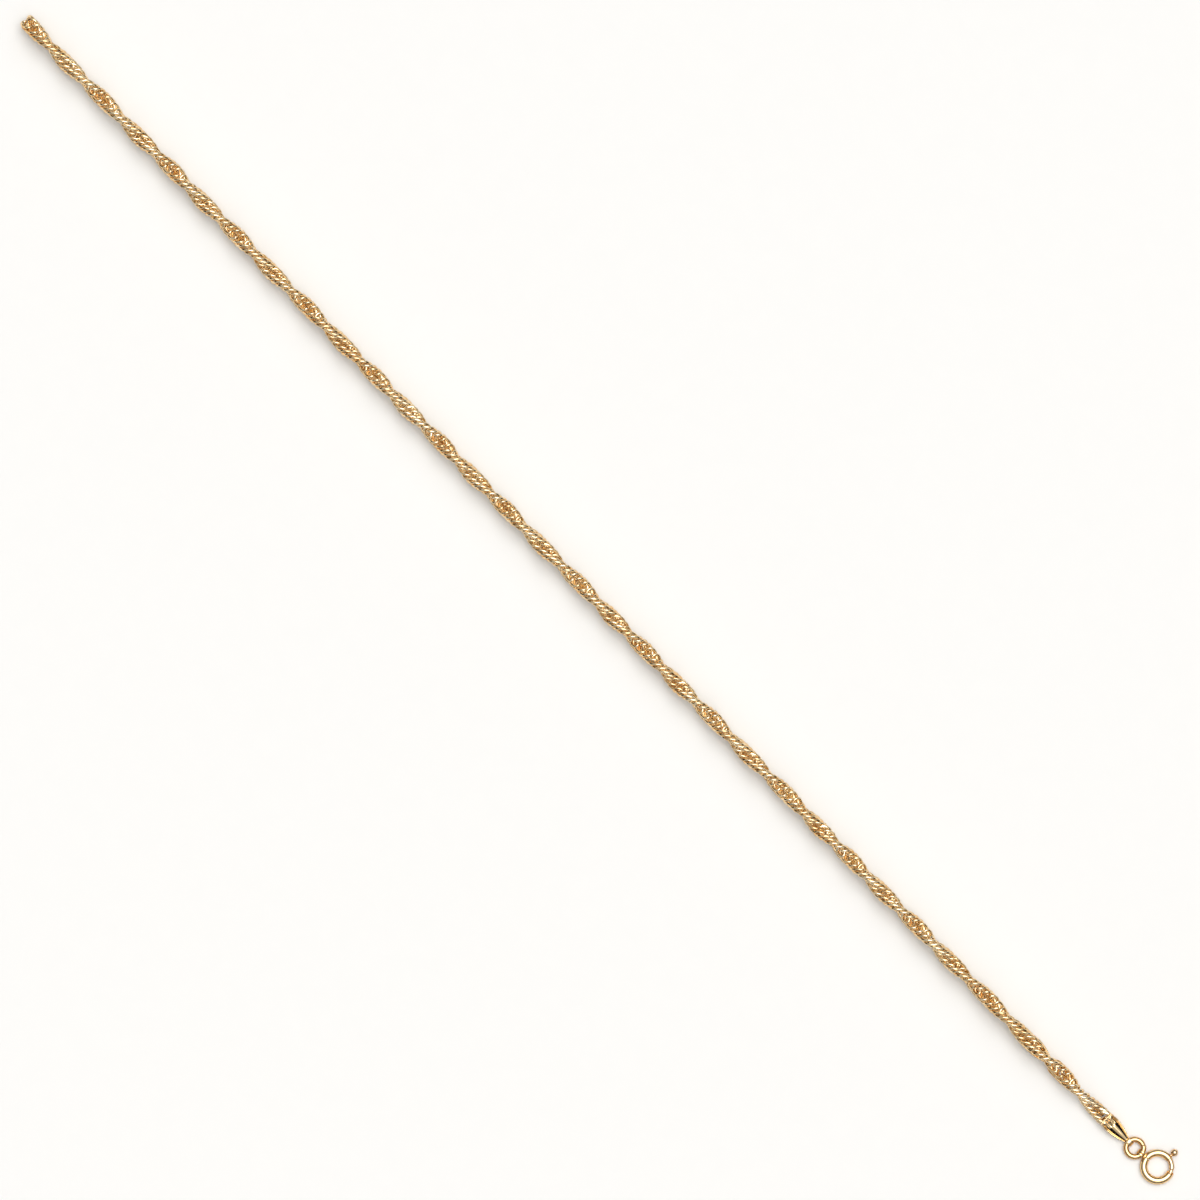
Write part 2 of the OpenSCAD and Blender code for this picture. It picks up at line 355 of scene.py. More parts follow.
# Angle of the ribbon's left-handed twist at x, in degrees
def twistAt(x):
    driftShares, driftAngles = zip(*twistDrift)
    ahead = np.interp(x / chainSpec["runLength"], driftShares, driftAngles)
    along = (x - foldX) / halfTurn
    turned = -180 * along - ahead * np.minimum(1, along)
    return np.where(x <= foldX, 0.0, np.where(x >= twistEnd, -180.0 * chainSpec["halfTurns"], turned))


# How far the ribbon's section reaches down from its middle at a given roll
def reachAt(roll):
    angle = np.radians(roll)
    reaches = [
        u * chainSpec["width"] * np.sin(angle) + v * chainSpec["thickness"] * np.cos(angle)
        for u, v in ribbonSection
    ]
    return np.max(reaches, axis=0)


# Height of what a run lies on, which comes down to the line of its cap
def baseAt(x, base, mouthX, length):
    atMouth = mouthHeight - chainSpec["thickness"] / 2
    u = np.clip((x - mouthX + length) / length, 0, 1)
    falling = base + (atMouth - base) * smoothStep(u) - length * math.tan(capLean) * (u ** 3 - u ** 2)
    return np.where(x < mouthX, falling, atMouth - (x - mouthX) * math.tan(capLean))


def upperHeight(x):
    return baseAt(x, upperBase, chainSpec["runLength"], chainSpec["dropLength"]) + reachAt(twistAt(x))


def lowerHeight(x):
    base = baseAt(x, 0.0, tailMouthX, chainSpec["tailDropLength"])
    return base + reachAt(twistAt(np.minimum(x, tailMouthX)))


# Middle, outward normal and roll of the ribbon at lengths q, counted from the fold towards the clasp
def ribbonAt(q):
    step = 0.1  # for slopes
    x = foldX + np.abs(q) - halfFold
    isUpper = q > halfFold
    isLower = q < -halfFold
    upperSlope = np.arctan((upperHeight(x + step) - upperHeight(x - step)) / (2 * step))
    lowerSlope = np.arctan((lowerHeight(x + step) - lowerHeight(x - step)) / (2 * step))
    out = np.where(isUpper, math.pi / 2 + upperSlope, math.pi - q / foldRadius)
    out = np.where(isLower, 1.5 * math.pi + lowerSlope, out)
    straight = isUpper | isLower
    middleX = np.where(straight, x, foldX + foldRadius * np.cos(out))
    foldZ = chainSpec["thickness"] / 2 + foldRadius * (1 + np.sin(out))
    middleZ = np.where(isUpper, upperHeight(x), np.where(isLower, lowerHeight(x), foldZ))
    roll = np.where(isUpper, twistAt(x), np.where(isLower, -twistAt(np.minimum(x, tailMouthX)), 0.0))
    zero = np.zeros_like(q)
    middle = np.stack([foldEnd + middleX, zero + chainLine, middleZ], -1)
    normal = np.stack([np.cos(out), zero, np.sin(out)], -1)
    return middle, normal, np.radians(roll)


def unit(vectors):
    return vectors / np.linalg.norm(vectors, axis=-1, keepdims=True)


# Points of the links whose middles are at the lengths q: link, place round the link, place round the wire
def linkPoints(q, shakes):
    spec = chainSpec
    # Line of a link's wire: an oval, narrower at one end, bent like a saddle and twisted with the ribbon
    t = np.linspace(0, 2 * math.pi, spec["segments"], endpoint=False)
    lengthwise = np.cos(t)
    along = spec["halfLink"] * lengthwise
    halfWidth = (spec["width"] - spec["wire"]) / 2
    across = halfWidth * np.sin(t) * (1 - spec["narrowing"] * lengthwise)
    raised = spec["saddle"] * np.cos(2 * t) + (spec["linkLean"] + shakes[:, 1:]) * lengthwise
    own = math.radians(spec["linkTwist"]) * along + shakes[:, :1]
    slanted = across * np.cos(own) - raised * np.sin(own) + spec["linkSlant"] * along
    wide = slanted * spec["linkBreadth"]
    thick = across * np.sin(own) + raised * np.cos(own)
    # That line laid along the ribbon
    middle, normal, roll = ribbonAt(q[:, None] + along[None, :])
    sideways = np.array([0.0, 1.0, 0.0])
    ribbonSide = np.cos(roll)[..., None] * sideways + np.sin(roll)[..., None] * normal
    ribbonUp = np.cos(roll)[..., None] * normal - np.sin(roll)[..., None] * sideways
    line = middle + wide[..., None] * ribbonSide + thick[..., None] * ribbonUp
    # Round wire about it, whose outer faces are cut flat and which doesn't go below the floor
    way = unit(np.roll(line, -1, axis=1) - np.roll(line, 1, axis=1))
    up = unit(ribbonUp - np.sum(ribbonUp * way, -1, keepdims=True) * way)
    aside = np.cross(way, up)
    angles = np.linspace(0, 2 * math.pi, spec["sides"], endpoint=False)
    ring = np.stack([math.cos(a) * aside + math.sin(a) * up for a in angles], 2)
    offsets = spec["wire"] / 2 * ring
    depth = thick[..., None] + np.sum(offsets * ribbonUp[:, :, None, :], -1)
    beyond = depth - np.clip(depth, -spec["facet"], spec["facet"])
    points = line[:, :, None, :] + offsets - beyond[..., None] * ribbonUp[:, :, None, :]
    points[..., 2] = np.maximum(points[..., 2], 0)
    return points


def makeLinks(name, q, shakes):
    points = linkPoints(q, shakes)
    perLink = chainSpec["segments"] * chainSpec["sides"]
    faces = []
    for i in range(len(q)):
        faces += gridFaces(chainSpec["segments"], chainSpec["sides"], True, True, i * perLink)
    addPiece(name, points.reshape(-1, 3), faces, linkGold, "necklace", ["chain"])
    print(name, len(q), "links")


# Places of the links from one end of the chain to the other
def linkPlaces(first, last):
    spec = chainSpec
    fine = np.linspace(first, last, spec["steps"])
    fromEnd = np.minimum(fine - first, last - fine)
    pitch = spec["pitch"] * (1 - spec["crowding"] * np.exp(-fromEnd / spec["crowdedOver"]))
    passed = np.concatenate([[0], np.cumsum(np.diff(fine) / pitch[1:])])
    count = int(passed[-1])
    return np.interp(np.arange(count + 1) * passed[-1] / count, passed, fine)


def makeChain():
    spec = chainSpec
    inCap = spec["grip"] - spec["halfLink"] - spec["wire"] / 2
    lastUpper = halfFold + spec["runLength"] - foldX + inCap
    lastLower = -(halfFold + tailMouthX - foldX + inCap)
    q = linkPlaces(lastLower, lastUpper)[::-1]
    rng = np.random.default_rng(spec["seed"])
    shakes = np.radians(rng.uniform(-spec["shake"], spec["shake"], (len(q), 2)))
    upper = q > -halfFold
    makeLinks("links_upper_run", q[upper], shakes[upper])
    makeLinks("links_lower_run", q[~upper], shakes[~upper])


makeChain()


# Leaf-shaped cap: two pressed halves with a bead round their edge, fluted at the mouth and ridged
# towards the eye, and a mouth that is open at both sides

softening = 0.05  # share of the cap's length over which its outlines are smoothed
softeningSteps = 11


def lookup(table, share):
    shares, values = zip(*table)
    window = np.linspace(-softening, softening, softeningSteps)
    return np.mean([np.interp(share + d, shares, values) for d in window], axis=0)


# Heights of a half over the cap's middle plane, at lengths from the mouth and places across
def roofHeight(along, across):
    spec = capSpec
    share = along / spec["length"]
    halfWidth = lookup(spec["plan"], share) * spec["width"] / 2
    top = lookup(spec["side"], share) * capHeight / 2
    size = halfWidth * 2 / spec["width"]
    bead = spec["beadWidth"] * size
    slope = spec["slopeWidth"] * size
    # Distance from the outline, with the mouth's corners rounded
    fromSide = halfWidth - np.abs(across)
    corner = spec["cornerRadius"]
    cut = corner - np.hypot(np.maximum(corner - fromSide, 0), np.maximum(corner - along, 0))
    edge = np.where(np.minimum(fromSide, along) < corner, cut, np.minimum(fromSide, along))
    # Foot of the bead and of the slopes, which lie over the slot at the mouth and go lower behind it
    overSlot = chainSpec["thickness"] / 2 + spec["gripGap"] + spec["thinnest"]
    fading = smoothStep(np.clip((along - spec["fadeFrom"]) / spec["fade"], 0, 1))
    beadFading = smoothStep(np.clip((along - spec["fadeFrom"]) / spec["beadFade"], 0, 1))
    steep = math.tan(math.radians(spec["slopeAngle"]))
    inside = np.maximum(halfWidth - bead - slope, spec["leastRidge"])
    crownHeight = np.minimum(inside * math.tan(math.radians(spec["slopeAngle"] / 2)), spec["crown"])
    valley = top - crownHeight - slope * steep
    beadFoot = valley + np.maximum(overSlot - valley, 0) * (1 - beadFading)
    valley = valley + np.maximum(overSlot - valley, 0) * (1 - fading)
    mouthShare, gain = spec["crownShares"]
    crownHeight = np.minimum(crownHeight, (mouthShare + gain * fading) * (top - valley))
    # Round bead, and the slopes up to the ridge
    onBead = np.clip(np.abs(edge - bead / 2) / (bead / 2), 0, 1)
    beaded = beadFoot + spec["beadHeight"] * size * np.sqrt(1 - onBead ** 2)
    inward = np.clip((halfWidth - np.maximum(fromSide, 0)) / inside, 0, 1)
    ridge = top - crownHeight * inward ** 2
    ridged = np.minimum(valley + np.maximum(edge - bead, 0) * steep, ridge)
    # Flutes, which run out at the slopes, at the bead and towards the eye
    fluted = smoothStep(np.clip((inside + spec["fluteOver"] - np.abs(across)) / spec["fluteOver"], 0, 1))
    fluted = fluted * smoothStep(np.clip((edge - bead) / spec["fluteStart"], 0, 1))
    fluted = fluted * smoothStep(np.clip((spec["fluteEnd"] - along) / spec["fluteFade"], 0, 1))
    wave = np.cos(2 * math.pi * across / spec["flutePitch"])
    wave = np.arcsin(spec["fluteSharpness"] * wave) / math.pi
    flutes = np.minimum(spec["fluteDepth"] * fluted * (0.5 - wave), ridged - valley + spec["fluteBelow"])
    return np.where(edge < bead, beaded, ridged - flutes)


def capHalfWidth(along):
    halfWidth = lookup(capSpec["plan"], along / capSpec["length"]) * capSpec["width"] / 2
    corner = capSpec["cornerRadius"]
    inside = np.clip(corner - along, 0, corner)
    return halfWidth - corner + np.sqrt(corner ** 2 - inside ** 2)


# Where the cap's mesh has its points
capMesh = {
    "beadSteps": [0, 0.012, 0.04, 0.085, 0.15, 0.25, 0.38, 0.5, 0.62, 0.75, 0.88, 1.0],
    "rowFromBead": 0.04,
    "rowToSlot": 0.02,
    "rowGap": 0.06,  # as far as the slot goes
    "rowGapBehind": 0.07,
    "slopeFirst": 0.12,  # share of the slope
    "slopeSteps": 8,
    "ridgeSteps": 25,  # from the slope to the cap's middle line
}


# Lengths of the rows from the mouth, and the places across of the points in each
def capGrid():
    spec = capSpec
    beadSteps = np.array(capMesh["beadSteps"])
    slopeSteps = np.linspace(capMesh["slopeFirst"], 1, capMesh["slopeSteps"])
    firstRow = spec["beadWidth"] + capMesh["rowFromBead"]
    rows = np.concatenate([
        beadSteps * spec["beadWidth"],
        np.arange(firstRow, spec["slotDepth"] - capMesh["rowToSlot"], capMesh["rowGap"]),
        np.arange(spec["slotDepth"], spec["bodyEnd"], capMesh["rowGapBehind"]),
    ])
    halfWidths = capHalfWidth(rows)
    sizes = np.minimum(1, halfWidths * 2 / spec["width"])
    sideways = []
    for halfWidth, size in zip(halfWidths, sizes):
        bead = spec["beadWidth"] * size
        slope = spec["slopeWidth"] * size
        steps = np.concatenate([beadSteps * bead, bead + slope * slopeSteps])
        steps = np.concatenate([steps, np.linspace(steps[-1], halfWidth, capMesh["ridgeSteps"])[1:]])
        sideways.append(np.concatenate([steps - halfWidth, (halfWidth - steps)[::-1][1:]]))
    return rows, np.array(sideways)


# Faces of a shell of four layers: its roof, the upper and lower wall of the slot, and its underside
def shellFaces(count, columns, slotRow):
    faces = []

    def quad(places, flipped):
        face = [(layer * count + row) * columns + column for layer, row, column in places]
        faces.append(tuple(face[::-1] if flipped else face))

    for row in range(count - 1):
        for column in range(columns - 1):
            for layer, flipped in ((0, False), (3, True)):
                quad([(layer, row, column), (layer, row + 1, column),
                      (layer, row + 1, column + 1), (layer, row, column + 1)], flipped)
            if row < slotRow:
                for layer, flipped in ((1, True), (2, False)):
                    quad([(layer, row, column), (layer, row + 1, column),
                          (layer, row + 1, column + 1), (layer, row, column + 1)], flipped)
        for column, flipped in ((0, True), (columns - 1, False)):
            for layer in (0, 1, 2):
                if layer != 1 or row >= slotRow:
                    quad([(layer, row, column), (layer + 1, row, column),
                          (layer + 1, row + 1, column), (layer, row + 1, column)], flipped)
    for column in range(columns - 1):
        walls = [(0, 0, True), (2, 0, True), (1, slotRow, True)]
        walls += [(layer, count - 1, False) for layer in (0, 1, 2)]
        for layer, row, flipped in walls:
            quad([(layer, row, column), (layer + 1, row, column),
                  (layer + 1, row, column + 1), (layer, row, column + 1)], flipped)
    return faces


def capShell():
    spec = capSpec
    rows, across = capGrid()
    slotRow = int(np.argmin(np.abs(rows - spec["slotDepth"])))
    along = np.repeat(rows[:, None], across.shape[1], axis=1)
    roof = roofHeight(along, across)
    slotHalf = chainSpec["thickness"] / 2 + spec["gripGap"]
    inner = np.minimum(slotHalf, roof * spec["innerShare"])
    inner[:slotRow + 1] = np.minimum(slotHalf, roof[:slotRow + 1] - spec["thinnest"])
    layers = [np.stack([along, across, z], -1) for z in (roof, inner, -inner, -roof)]
    return np.concatenate(layers).reshape(-1, 3), shellFaces(*across.shape, slotRow)


eyeSpec = {
    "hole": 0.45,
    "edge": 0.06,  # rounding outside
    "holeEdge": 0.03,
    "middleOfEdge": 0.3,  # share of the rounding at which its middle lies
    "jumpCurve": 1.25,  # radius of the jump ring's middle line
    "loopCurve": 50.0,  # the tail loop is nearly straight in its eye
    "sides": 48,
    "holeSteps": 9,
}
# Turned into the clasp's collar: place and depth, as shares of the groove's width
grooveShape = [(-1.4, 0.0), (-0.6, 0.5), (0.0, 1.6), (0.6, 0.5), (1.4, 0.0)]


# A short band whose hole follows the wire that it holds. A negative curve bends the other way
def eyeBand(wireCurve, groove):
    spec = eyeSpec
    radius = capSpec["eyeRadius"]
    half = capSpec["eyeWidth"] / 2
    middle = spec["edge"] * spec["middleOfEdge"]
    holeSide = spec["hole"] + spec["holeEdge"]
    side = [(half - spec["edge"], radius), (half - middle, radius - middle)]
    side += [(half, radius - spec["edge"]), (half, holeSide)]
    profile = [(-y, r) for y, r in side[::-1]]
    if groove:
        profile += [(groove * place, radius - groove * depth) for place, depth in grooveShape]
    profile += side
    insideHalf = half - spec["holeEdge"]
    profile += [(y, spec["hole"]) for y in np.linspace(insideHalf, -insideHalf, spec["holeSteps"])]
    around = np.linspace(0, 2 * math.pi, spec["sides"], endpoint=False)
    rows = []
    for y, r in profile:
        shift = 0.0
        if r <= holeSide:
            shift = wireCurve - math.copysign(math.sqrt(wireCurve ** 2 - y ** 2), wireCurve)
        rows.append([(shift + r * math.cos(a), y, r * math.sin(a)) for a in around])
    points = np.array(rows).reshape(-1, 3)
    return points, gridFaces(len(rows), spec["sides"], True, True)


def makeCap(name, node, wireCurve):
    low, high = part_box(node)
    eyeX = high.x / mm - capSpec["eyeRadius"]
    bodyPoints, bodyFaces = capShell()
    cosine, sine = math.cos(capLean), math.sin(capLean)
    turned = bodyPoints.copy()
    turned[:, 0] = bodyPoints[:, 0] * cosine + bodyPoints[:, 2] * sine
    turned[:, 2] = -bodyPoints[:, 0] * sine + bodyPoints[:, 2] * cosine
    turned += [eyeX - capSpec["length"] * cosine, chainLine, mouthHeight]
    eyePoints, eyeFaces = eyeBand(wireCurve, 0.0)
    eyePoints += [eyeX, chainLine, capSpec["eyeRadius"]]
    points, faces = joined((turned, bodyFaces), (eyePoints, eyeFaces))
    addPiece(name, points, faces, capGold, "necklace", [node])


makeCap("end_cap_leaf", "end_cap", eyeSpec["jumpCurve"])
makeCap("tail_cap_leaf", "tail_cap", eyeSpec["loopCurve"])
print("caps made")


# Round wire or tube swept along a line of points, with flat ends where it is open

def sweepTube(line, radii, sides, closed):
    line = np.asarray(line, float)
    if closed:
        way = unit(np.roll(line, -1, axis=0) - np.roll(line, 1, axis=0))
    else:
        way = unit(np.gradient(line, axis=0))
    up = np.broadcast_to((0.0, 0.0, 1.0), line.shape)
    up = unit(up - np.sum(up * way, -1, keepdims=True) * way)
    aside = np.cross(way, up)
    points = []
    for a in np.linspace(0, 2 * math.pi, sides, endpoint=False):
        points.append(line + np.asarray(radii)[:, None] * (math.cos(a) * aside + math.sin(a) * up))
    points = np.stack(points, 1).reshape(-1, 3)
    faces = gridFaces(len(line), sides, closed, True)
    if not closed:
        faces.append(tuple(range(sides))[::-1])
        faces.append(tuple((len(line) - 1) * sides + i for i in range(sides)))
    return points, faces


jumpSpec = {
    "wire": 0.8,
    "seamAt": 62.0,  # angle of the soldered seam
    "seamGap": 0.05,
    "edge": 0.06,  # rounding of the wire's cut ends
    "offset": 0.05,  # by which the two ends miss each other
    "offsetOver": 1.0,  # length over which that fades
    "endSteps": (0.0, 0.1, 0.3, 0.6, 1.0),  # shares of the rounding
    "segments": 90,
    "sides": 28,
}


# Radii along an open wire that close in over a rounded edge at both ends
def endRadii(lengths, radius, edge):
    fromEnd = np.minimum(lengths - lengths[0], lengths[-1] - lengths)
    inside = np.clip(fromEnd / edge, 0, 1)
    return radius - edge + edge * np.sqrt(1 - (1 - inside) ** 2)


def makeJumpRing():
    spec = jumpSpec
    low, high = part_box("jump_ring")
    centre = (low + high) / 2 / mm
    ringRadius = (high.x - low.x) / mm / 2 - spec["wire"] / 2
    total = 2 * math.pi * ringRadius - spec["seamGap"]
    ends = spec["edge"] * np.array(spec["endSteps"])
    between = np.linspace(ends[-1], total - ends[-1], spec["segments"])[1:-1]
    lengths = np.concatenate([ends, between, total - ends[::-1]])
    angles = math.radians(spec["seamAt"]) + (lengths + spec["seamGap"] / 2) / ringRadius
    fromEnd = np.minimum(lengths, total - lengths)
    strain = (lengths / total - 0.5) * spec["offset"] * np.exp(-fromEnd / spec["offsetOver"])
    line = np.stack([
        centre.x + (ringRadius + strain) * np.cos(angles),
        centre.y + (ringRadius + strain) * np.sin(angles),
        np.full_like(angles, centre.z),
    ], -1)
    radii = endRadii(lengths, spec["wire"] / 2, spec["edge"])
    points, faces = sweepTube(line, radii, spec["sides"], False)
    addPiece("jump_ring_wire", points, faces, ringGold, "necklace", ["jump_ring"])


makeJumpRing()


loopSpec = {
    "length": 4.4,
    "width": 2.3,
    "wire": 0.6,
    "endSegments": 24,
    "sideSegments": 8,
    "sides": 20,
}


def makeTailLoop():
    spec = loopSpec
    low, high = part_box("tail_loop")
    r = (spec["width"] - spec["wire"]) / 2
    side = spec["length"] - spec["width"]
    lean = math.asin((capSpec["eyeRadius"] - spec["wire"] / 2) / (spec["length"] - spec["wire"]))
    bend = np.radians(np.linspace(90, 270, spec["endSegments"]))
    straight = np.linspace(0, side, spec["sideSegments"])[1:-1]
    nearEnd = np.stack([r + r * np.cos(bend), r * np.sin(bend)], -1)
    nearSide = np.stack([r + straight, np.full_like(straight, -r)], -1)
    half = np.vstack([nearEnd, nearSide])
    middle = np.array([r + side / 2, 0.0])
    line = np.vstack([half, 2 * middle - half])
    cosine, sine = math.cos(lean), math.sin(lean)
    nearX = low.x / mm + spec["wire"] / 2
    height = capSpec["eyeRadius"] - line[:, 0] * sine
    turned = np.stack([nearX + line[:, 0] * cosine, chainLine + line[:, 1], height], -1)
    radii = np.full(len(line), spec["wire"] / 2)
    points, faces = sweepTube(turned, radii, spec["sides"], True)
    addPiece("tail_loop_wire", points, faces, ringGold, "necklace", ["tail_loop"])


makeTailLoop()
print("jump ring and tail loop made")


# Bolt ring: a bent tube with a slot for the trigger, and the sprung bolt inside it

claspSpec = {
    "outer": 5.1,
    "tube": 1.08,
    "wall": 0.1,
    "boltGap": 0.05,  # between the bolt and the tube
    "socketAt": 20.0,  # angle round the ring at which the tube starts
    "mouthAt": 72.0,  # and ends
    "triggerAt": 79.0,
    "travel": 52.0,
    "boltIn": 8.0,  # by which the bolt goes into the socket
    "boltTail": 25.0,  # behind the trigger
    "ball": 1.04,
    "ballAt": 3.16,  # from the ring's centre
    "stem": 0.4,
    "slotGap": 0.07,  # between the stem and the slot
    "swing": 6.3,  # by which the clasp has turned out of the chain's line
    "socketSlant": 12.0,  # degrees by which the socket's end is cut back on top
    "slantOver": 40.0,
    "tip": 0.3,  # radius of the bolt's tip
    "tipFrom": (6.0, 9.0),  # degrees past the socket between which the bolt gets narrow
    "groove": 0.05,  # width of the groove turned into the collar
    "lugGap": 0.05,  # between the ring and the jump ring's wire
    "collarNeck": [(0.47, 0.36), (0.55, 0.38)],  # length from the collar's middle, radius
    "ringNeck": [(-0.45, 0.4), (-0.3, 0.42)],  # length from the tube's middle line, radius
    "tubeSteps": (20, 18, 64),  # along the slot, on to the seam, and on to the socket
    "slotSides": 5,
    "tubeSides": 33,
    "tipSteps": 8,
    "boltSteps": 90,
    "ballSteps": 26,
    "edgeRounding": 0.02,
    "roundedFrom": 50.0,  # degrees by which an edge turns
    "sides": 28,
    "stemSides": 20,
    "ballSides": 32,
}
# Narrowing of the tube towards its two ends: degrees from the end, depth
tubeTaper = [(0.0, -0.05), (0.6, -0.03), (1.6, -0.01), (3.0, 0.0)]
# Half of the seam at the collar: degrees from its middle, depth
tubeSeam = [(-3.2, 0.0), (-2.7, -0.02), (-2.5, -0.05), (-2.3, -0.3), (0.0, -0.3)]
seamAt = 180.0
seamReach = 4.0  # degrees round the seam that only it takes
# The trigger's stem: length from the tube's middle line, radius
stemShape = [(0.0, 0.2), (0.4, 0.2), (0.55, 0.2), (0.66, 0.2), (0.74, 0.23), (0.82, 0.3)]

claspCentre = Vector(frame["joints"][0]["pos_m"]) / mm
claspRadius = (claspSpec["outer"] - claspSpec["tube"]) / 2


# Brings points from the ring's own axes into the frame
def atClasp(points):
    return turnedFlat(points, claspSpec["swing"]) + np.array(claspCentre[:])


def ringPoint(angle, away, up):
    a = math.radians(angle)
    return ((claspRadius + away) * math.cos(a), (claspRadius + away) * math.sin(a), up)


# Angles round the ring at which the tube has a row of points, each with the depth that it has there
def tubeRows(slotEnd):
    spec = claspSpec
    start, stop = spec["mouthAt"], 360 + spec["socketAt"]
    seam = tubeSeam + [(-t, depth) for t, depth in tubeSeam[:-1]][::-1]
    taperEnd = tubeTaper[-1][0]
    slotSteps, seamSteps, socketSteps = spec["tubeSteps"]
    angles = [start + t for t, _ in tubeTaper]
    angles += list(np.linspace(start + taperEnd, slotEnd, slotSteps)[1:])
    angles += list(np.linspace(slotEnd, seamAt - seamReach, seamSteps)[1:])
    angles += [seamAt + t for t, _ in seam]
    angles += list(np.linspace(seamAt + seamReach, stop - taperEnd, socketSteps))
    angles += [stop - t for t, _ in tubeTaper[:-1]][::-1]
    depths = {start + t: depth for t, depth in tubeTaper} | {stop - t: depth for t, depth in tubeTaper}
    depths |= {seamAt + t: depth for t, depth in seam}
    return [(angle, depths.get(angle, 0.0)) for angle in angles]


# The tube's outer skin, left open over the slot
def tubeSkin():
    spec = claspSpec
    radius = spec["tube"] / 2
    slotHalf = spec["stem"] / 2 + spec["slotGap"]
    slotAngle = math.degrees(math.asin(slotHalf / radius))
    slotEnd = spec["triggerAt"] + spec["travel"] + math.degrees(math.asin(slotHalf / claspRadius))
    overSlot = list(np.linspace(-slotAngle, slotAngle, spec["slotSides"]))
    rounds = overSlot + list(np.linspace(slotAngle, 360 - slotAngle, spec["tubeSides"])[1:-1])
    rows = tubeRows(slotEnd)
    stop = rows[-1][0]
    points = []
    for angle, depth in rows:
        r = radius + depth
        for a in rounds:
            high = math.sin(math.radians(a))
            cutBack = spec["socketSlant"] * (1 + high) / 2 * max(0, 1 - (stop - angle) / spec["slantOver"])
            points.append(ringPoint(angle - cutBack, r * math.cos(math.radians(a)), r * high))
    faces = []
    for face in gridFaces(len(rows), len(rounds), False, True):
        row, place = divmod(face[0], len(rounds))
        if rows[row + 1][0] > slotEnd or place >= spec["slotSides"] - 1:
            faces.append(face)
    return points, faces


# Gives a skin its wall inwards and rounds its cut edges
def walled(points, faces):
    spec = claspSpec
    mesh = bpy.data.meshes.new("tubeSkin")
    mesh.from_pydata(points, [], faces)
    skin = bpy.data.objects.new("tubeSkin", mesh)
    bpy.context.scene.collection.objects.link(skin)
    solidify = skin.modifiers.new("wall", "SOLIDIFY")
    solidify.thickness = spec["wall"]
    solidify.offset = 1.0
    bevel = skin.modifiers.new("edges", "BEVEL")
    bevel.width = spec["edgeRounding"]
    bevel.segments = 2
    bevel.limit_method = "ANGLE"
    bevel.angle_limit = math.radians(spec["roundedFrom"])
    bpy.context.view_layer.update()
    evaluated = skin.evaluated_get(bpy.context.evaluated_depsgraph_get())
    wallPoints = np.array([v.co[:] for v in evaluated.data.vertices])
    wallFaces = [tuple(p.vertices) for p in evaluated.data.polygons]
    bpy.data.objects.remove(skin)
    return wallPoints, wallFaces


# The grooved collar that holds the jump ring, and its neck, as two meshes
def collarParts():
    spec = claspSpec
    lugAt = spec["outer"] / 2 + spec["lugGap"] + jumpSpec["wire"] / 2
    eyePoints, eyeFaces = eyeBand(-eyeSpec["jumpCurve"], spec["groove"])
    eyePoints += [-lugAt, 0, 0]
    neck = [(d - lugAt, r) for d, r in spec["collarNeck"]]
    neck += [(d - claspRadius, r) for d, r in spec["ringNeck"]]
    neckLine = [(x, 0, 0) for x, _ in neck]
    return (eyePoints, eyeFaces), sweepTube(neckLine, [r for _, r in neck], spec["sides"], False)


def makeBoltRing():
    points, faces = joined(walled(*tubeSkin()), *collarParts())
    addPiece("bolt_ring_tube", atClasp(points), faces, claspGold, "necklace", ["bolt_ring"])


makeBoltRing()


# The bolt's wire, which gets narrow towards a rounded tip
def boltArc():
    spec = claspSpec
    r = spec["tube"] / 2 - spec["wall"] - spec["boltGap"]
    tip = spec["socketAt"] - spec["boltIn"]
    end = spec["triggerAt"] + spec["boltTail"]
    lead = math.degrees(r / claspRadius)
    rounding = np.linspace(2, 80, spec["tipSteps"])  # angles round the tip's rounding
    steps = np.linspace(tip, end, spec["boltSteps"])
    narrow = np.interp(steps, [spec["socketAt"] + t for t in spec["tipFrom"]], [spec["tip"], r])
    angles = [tip - lead * math.cos(math.radians(a)) for a in rounding] + list(steps)
    radii = [spec["tip"] * math.sin(math.radians(a)) for a in rounding] + list(narrow)
    return sweepTube([ringPoint(a, 0, 0) for a in angles], radii, spec["sides"], False)


# The trigger's stem and ball
def trigger():
    spec = claspSpec
    stemLine = [(claspRadius + d, 0, 0) for d, _ in stemShape]
    stem = sweepTube(stemLine, [r for _, r in stemShape], spec["stemSides"], False)
    polar = np.radians(np.linspace(3, 177, spec["ballSteps"]))  # leaves a small flat at both poles
    ballLine = [(x, 0, 0) for x in spec["ballAt"] - spec["ball"] / 2 * np.cos(polar)]
    ball = sweepTube(ballLine, spec["ball"] / 2 * np.sin(polar), spec["ballSides"], False)
    points, faces = joined(stem, ball)
    return turnedFlat(points, spec["triggerAt"]), faces


def makeBolt():
    points, faces = joined(boltArc(), trigger())
    addPiece("bolt_wire", atClasp(points), faces, boltGold, "bolt", ["bolt"])


makeBolt()
print("clasp made")


# Floor, light and surroundings

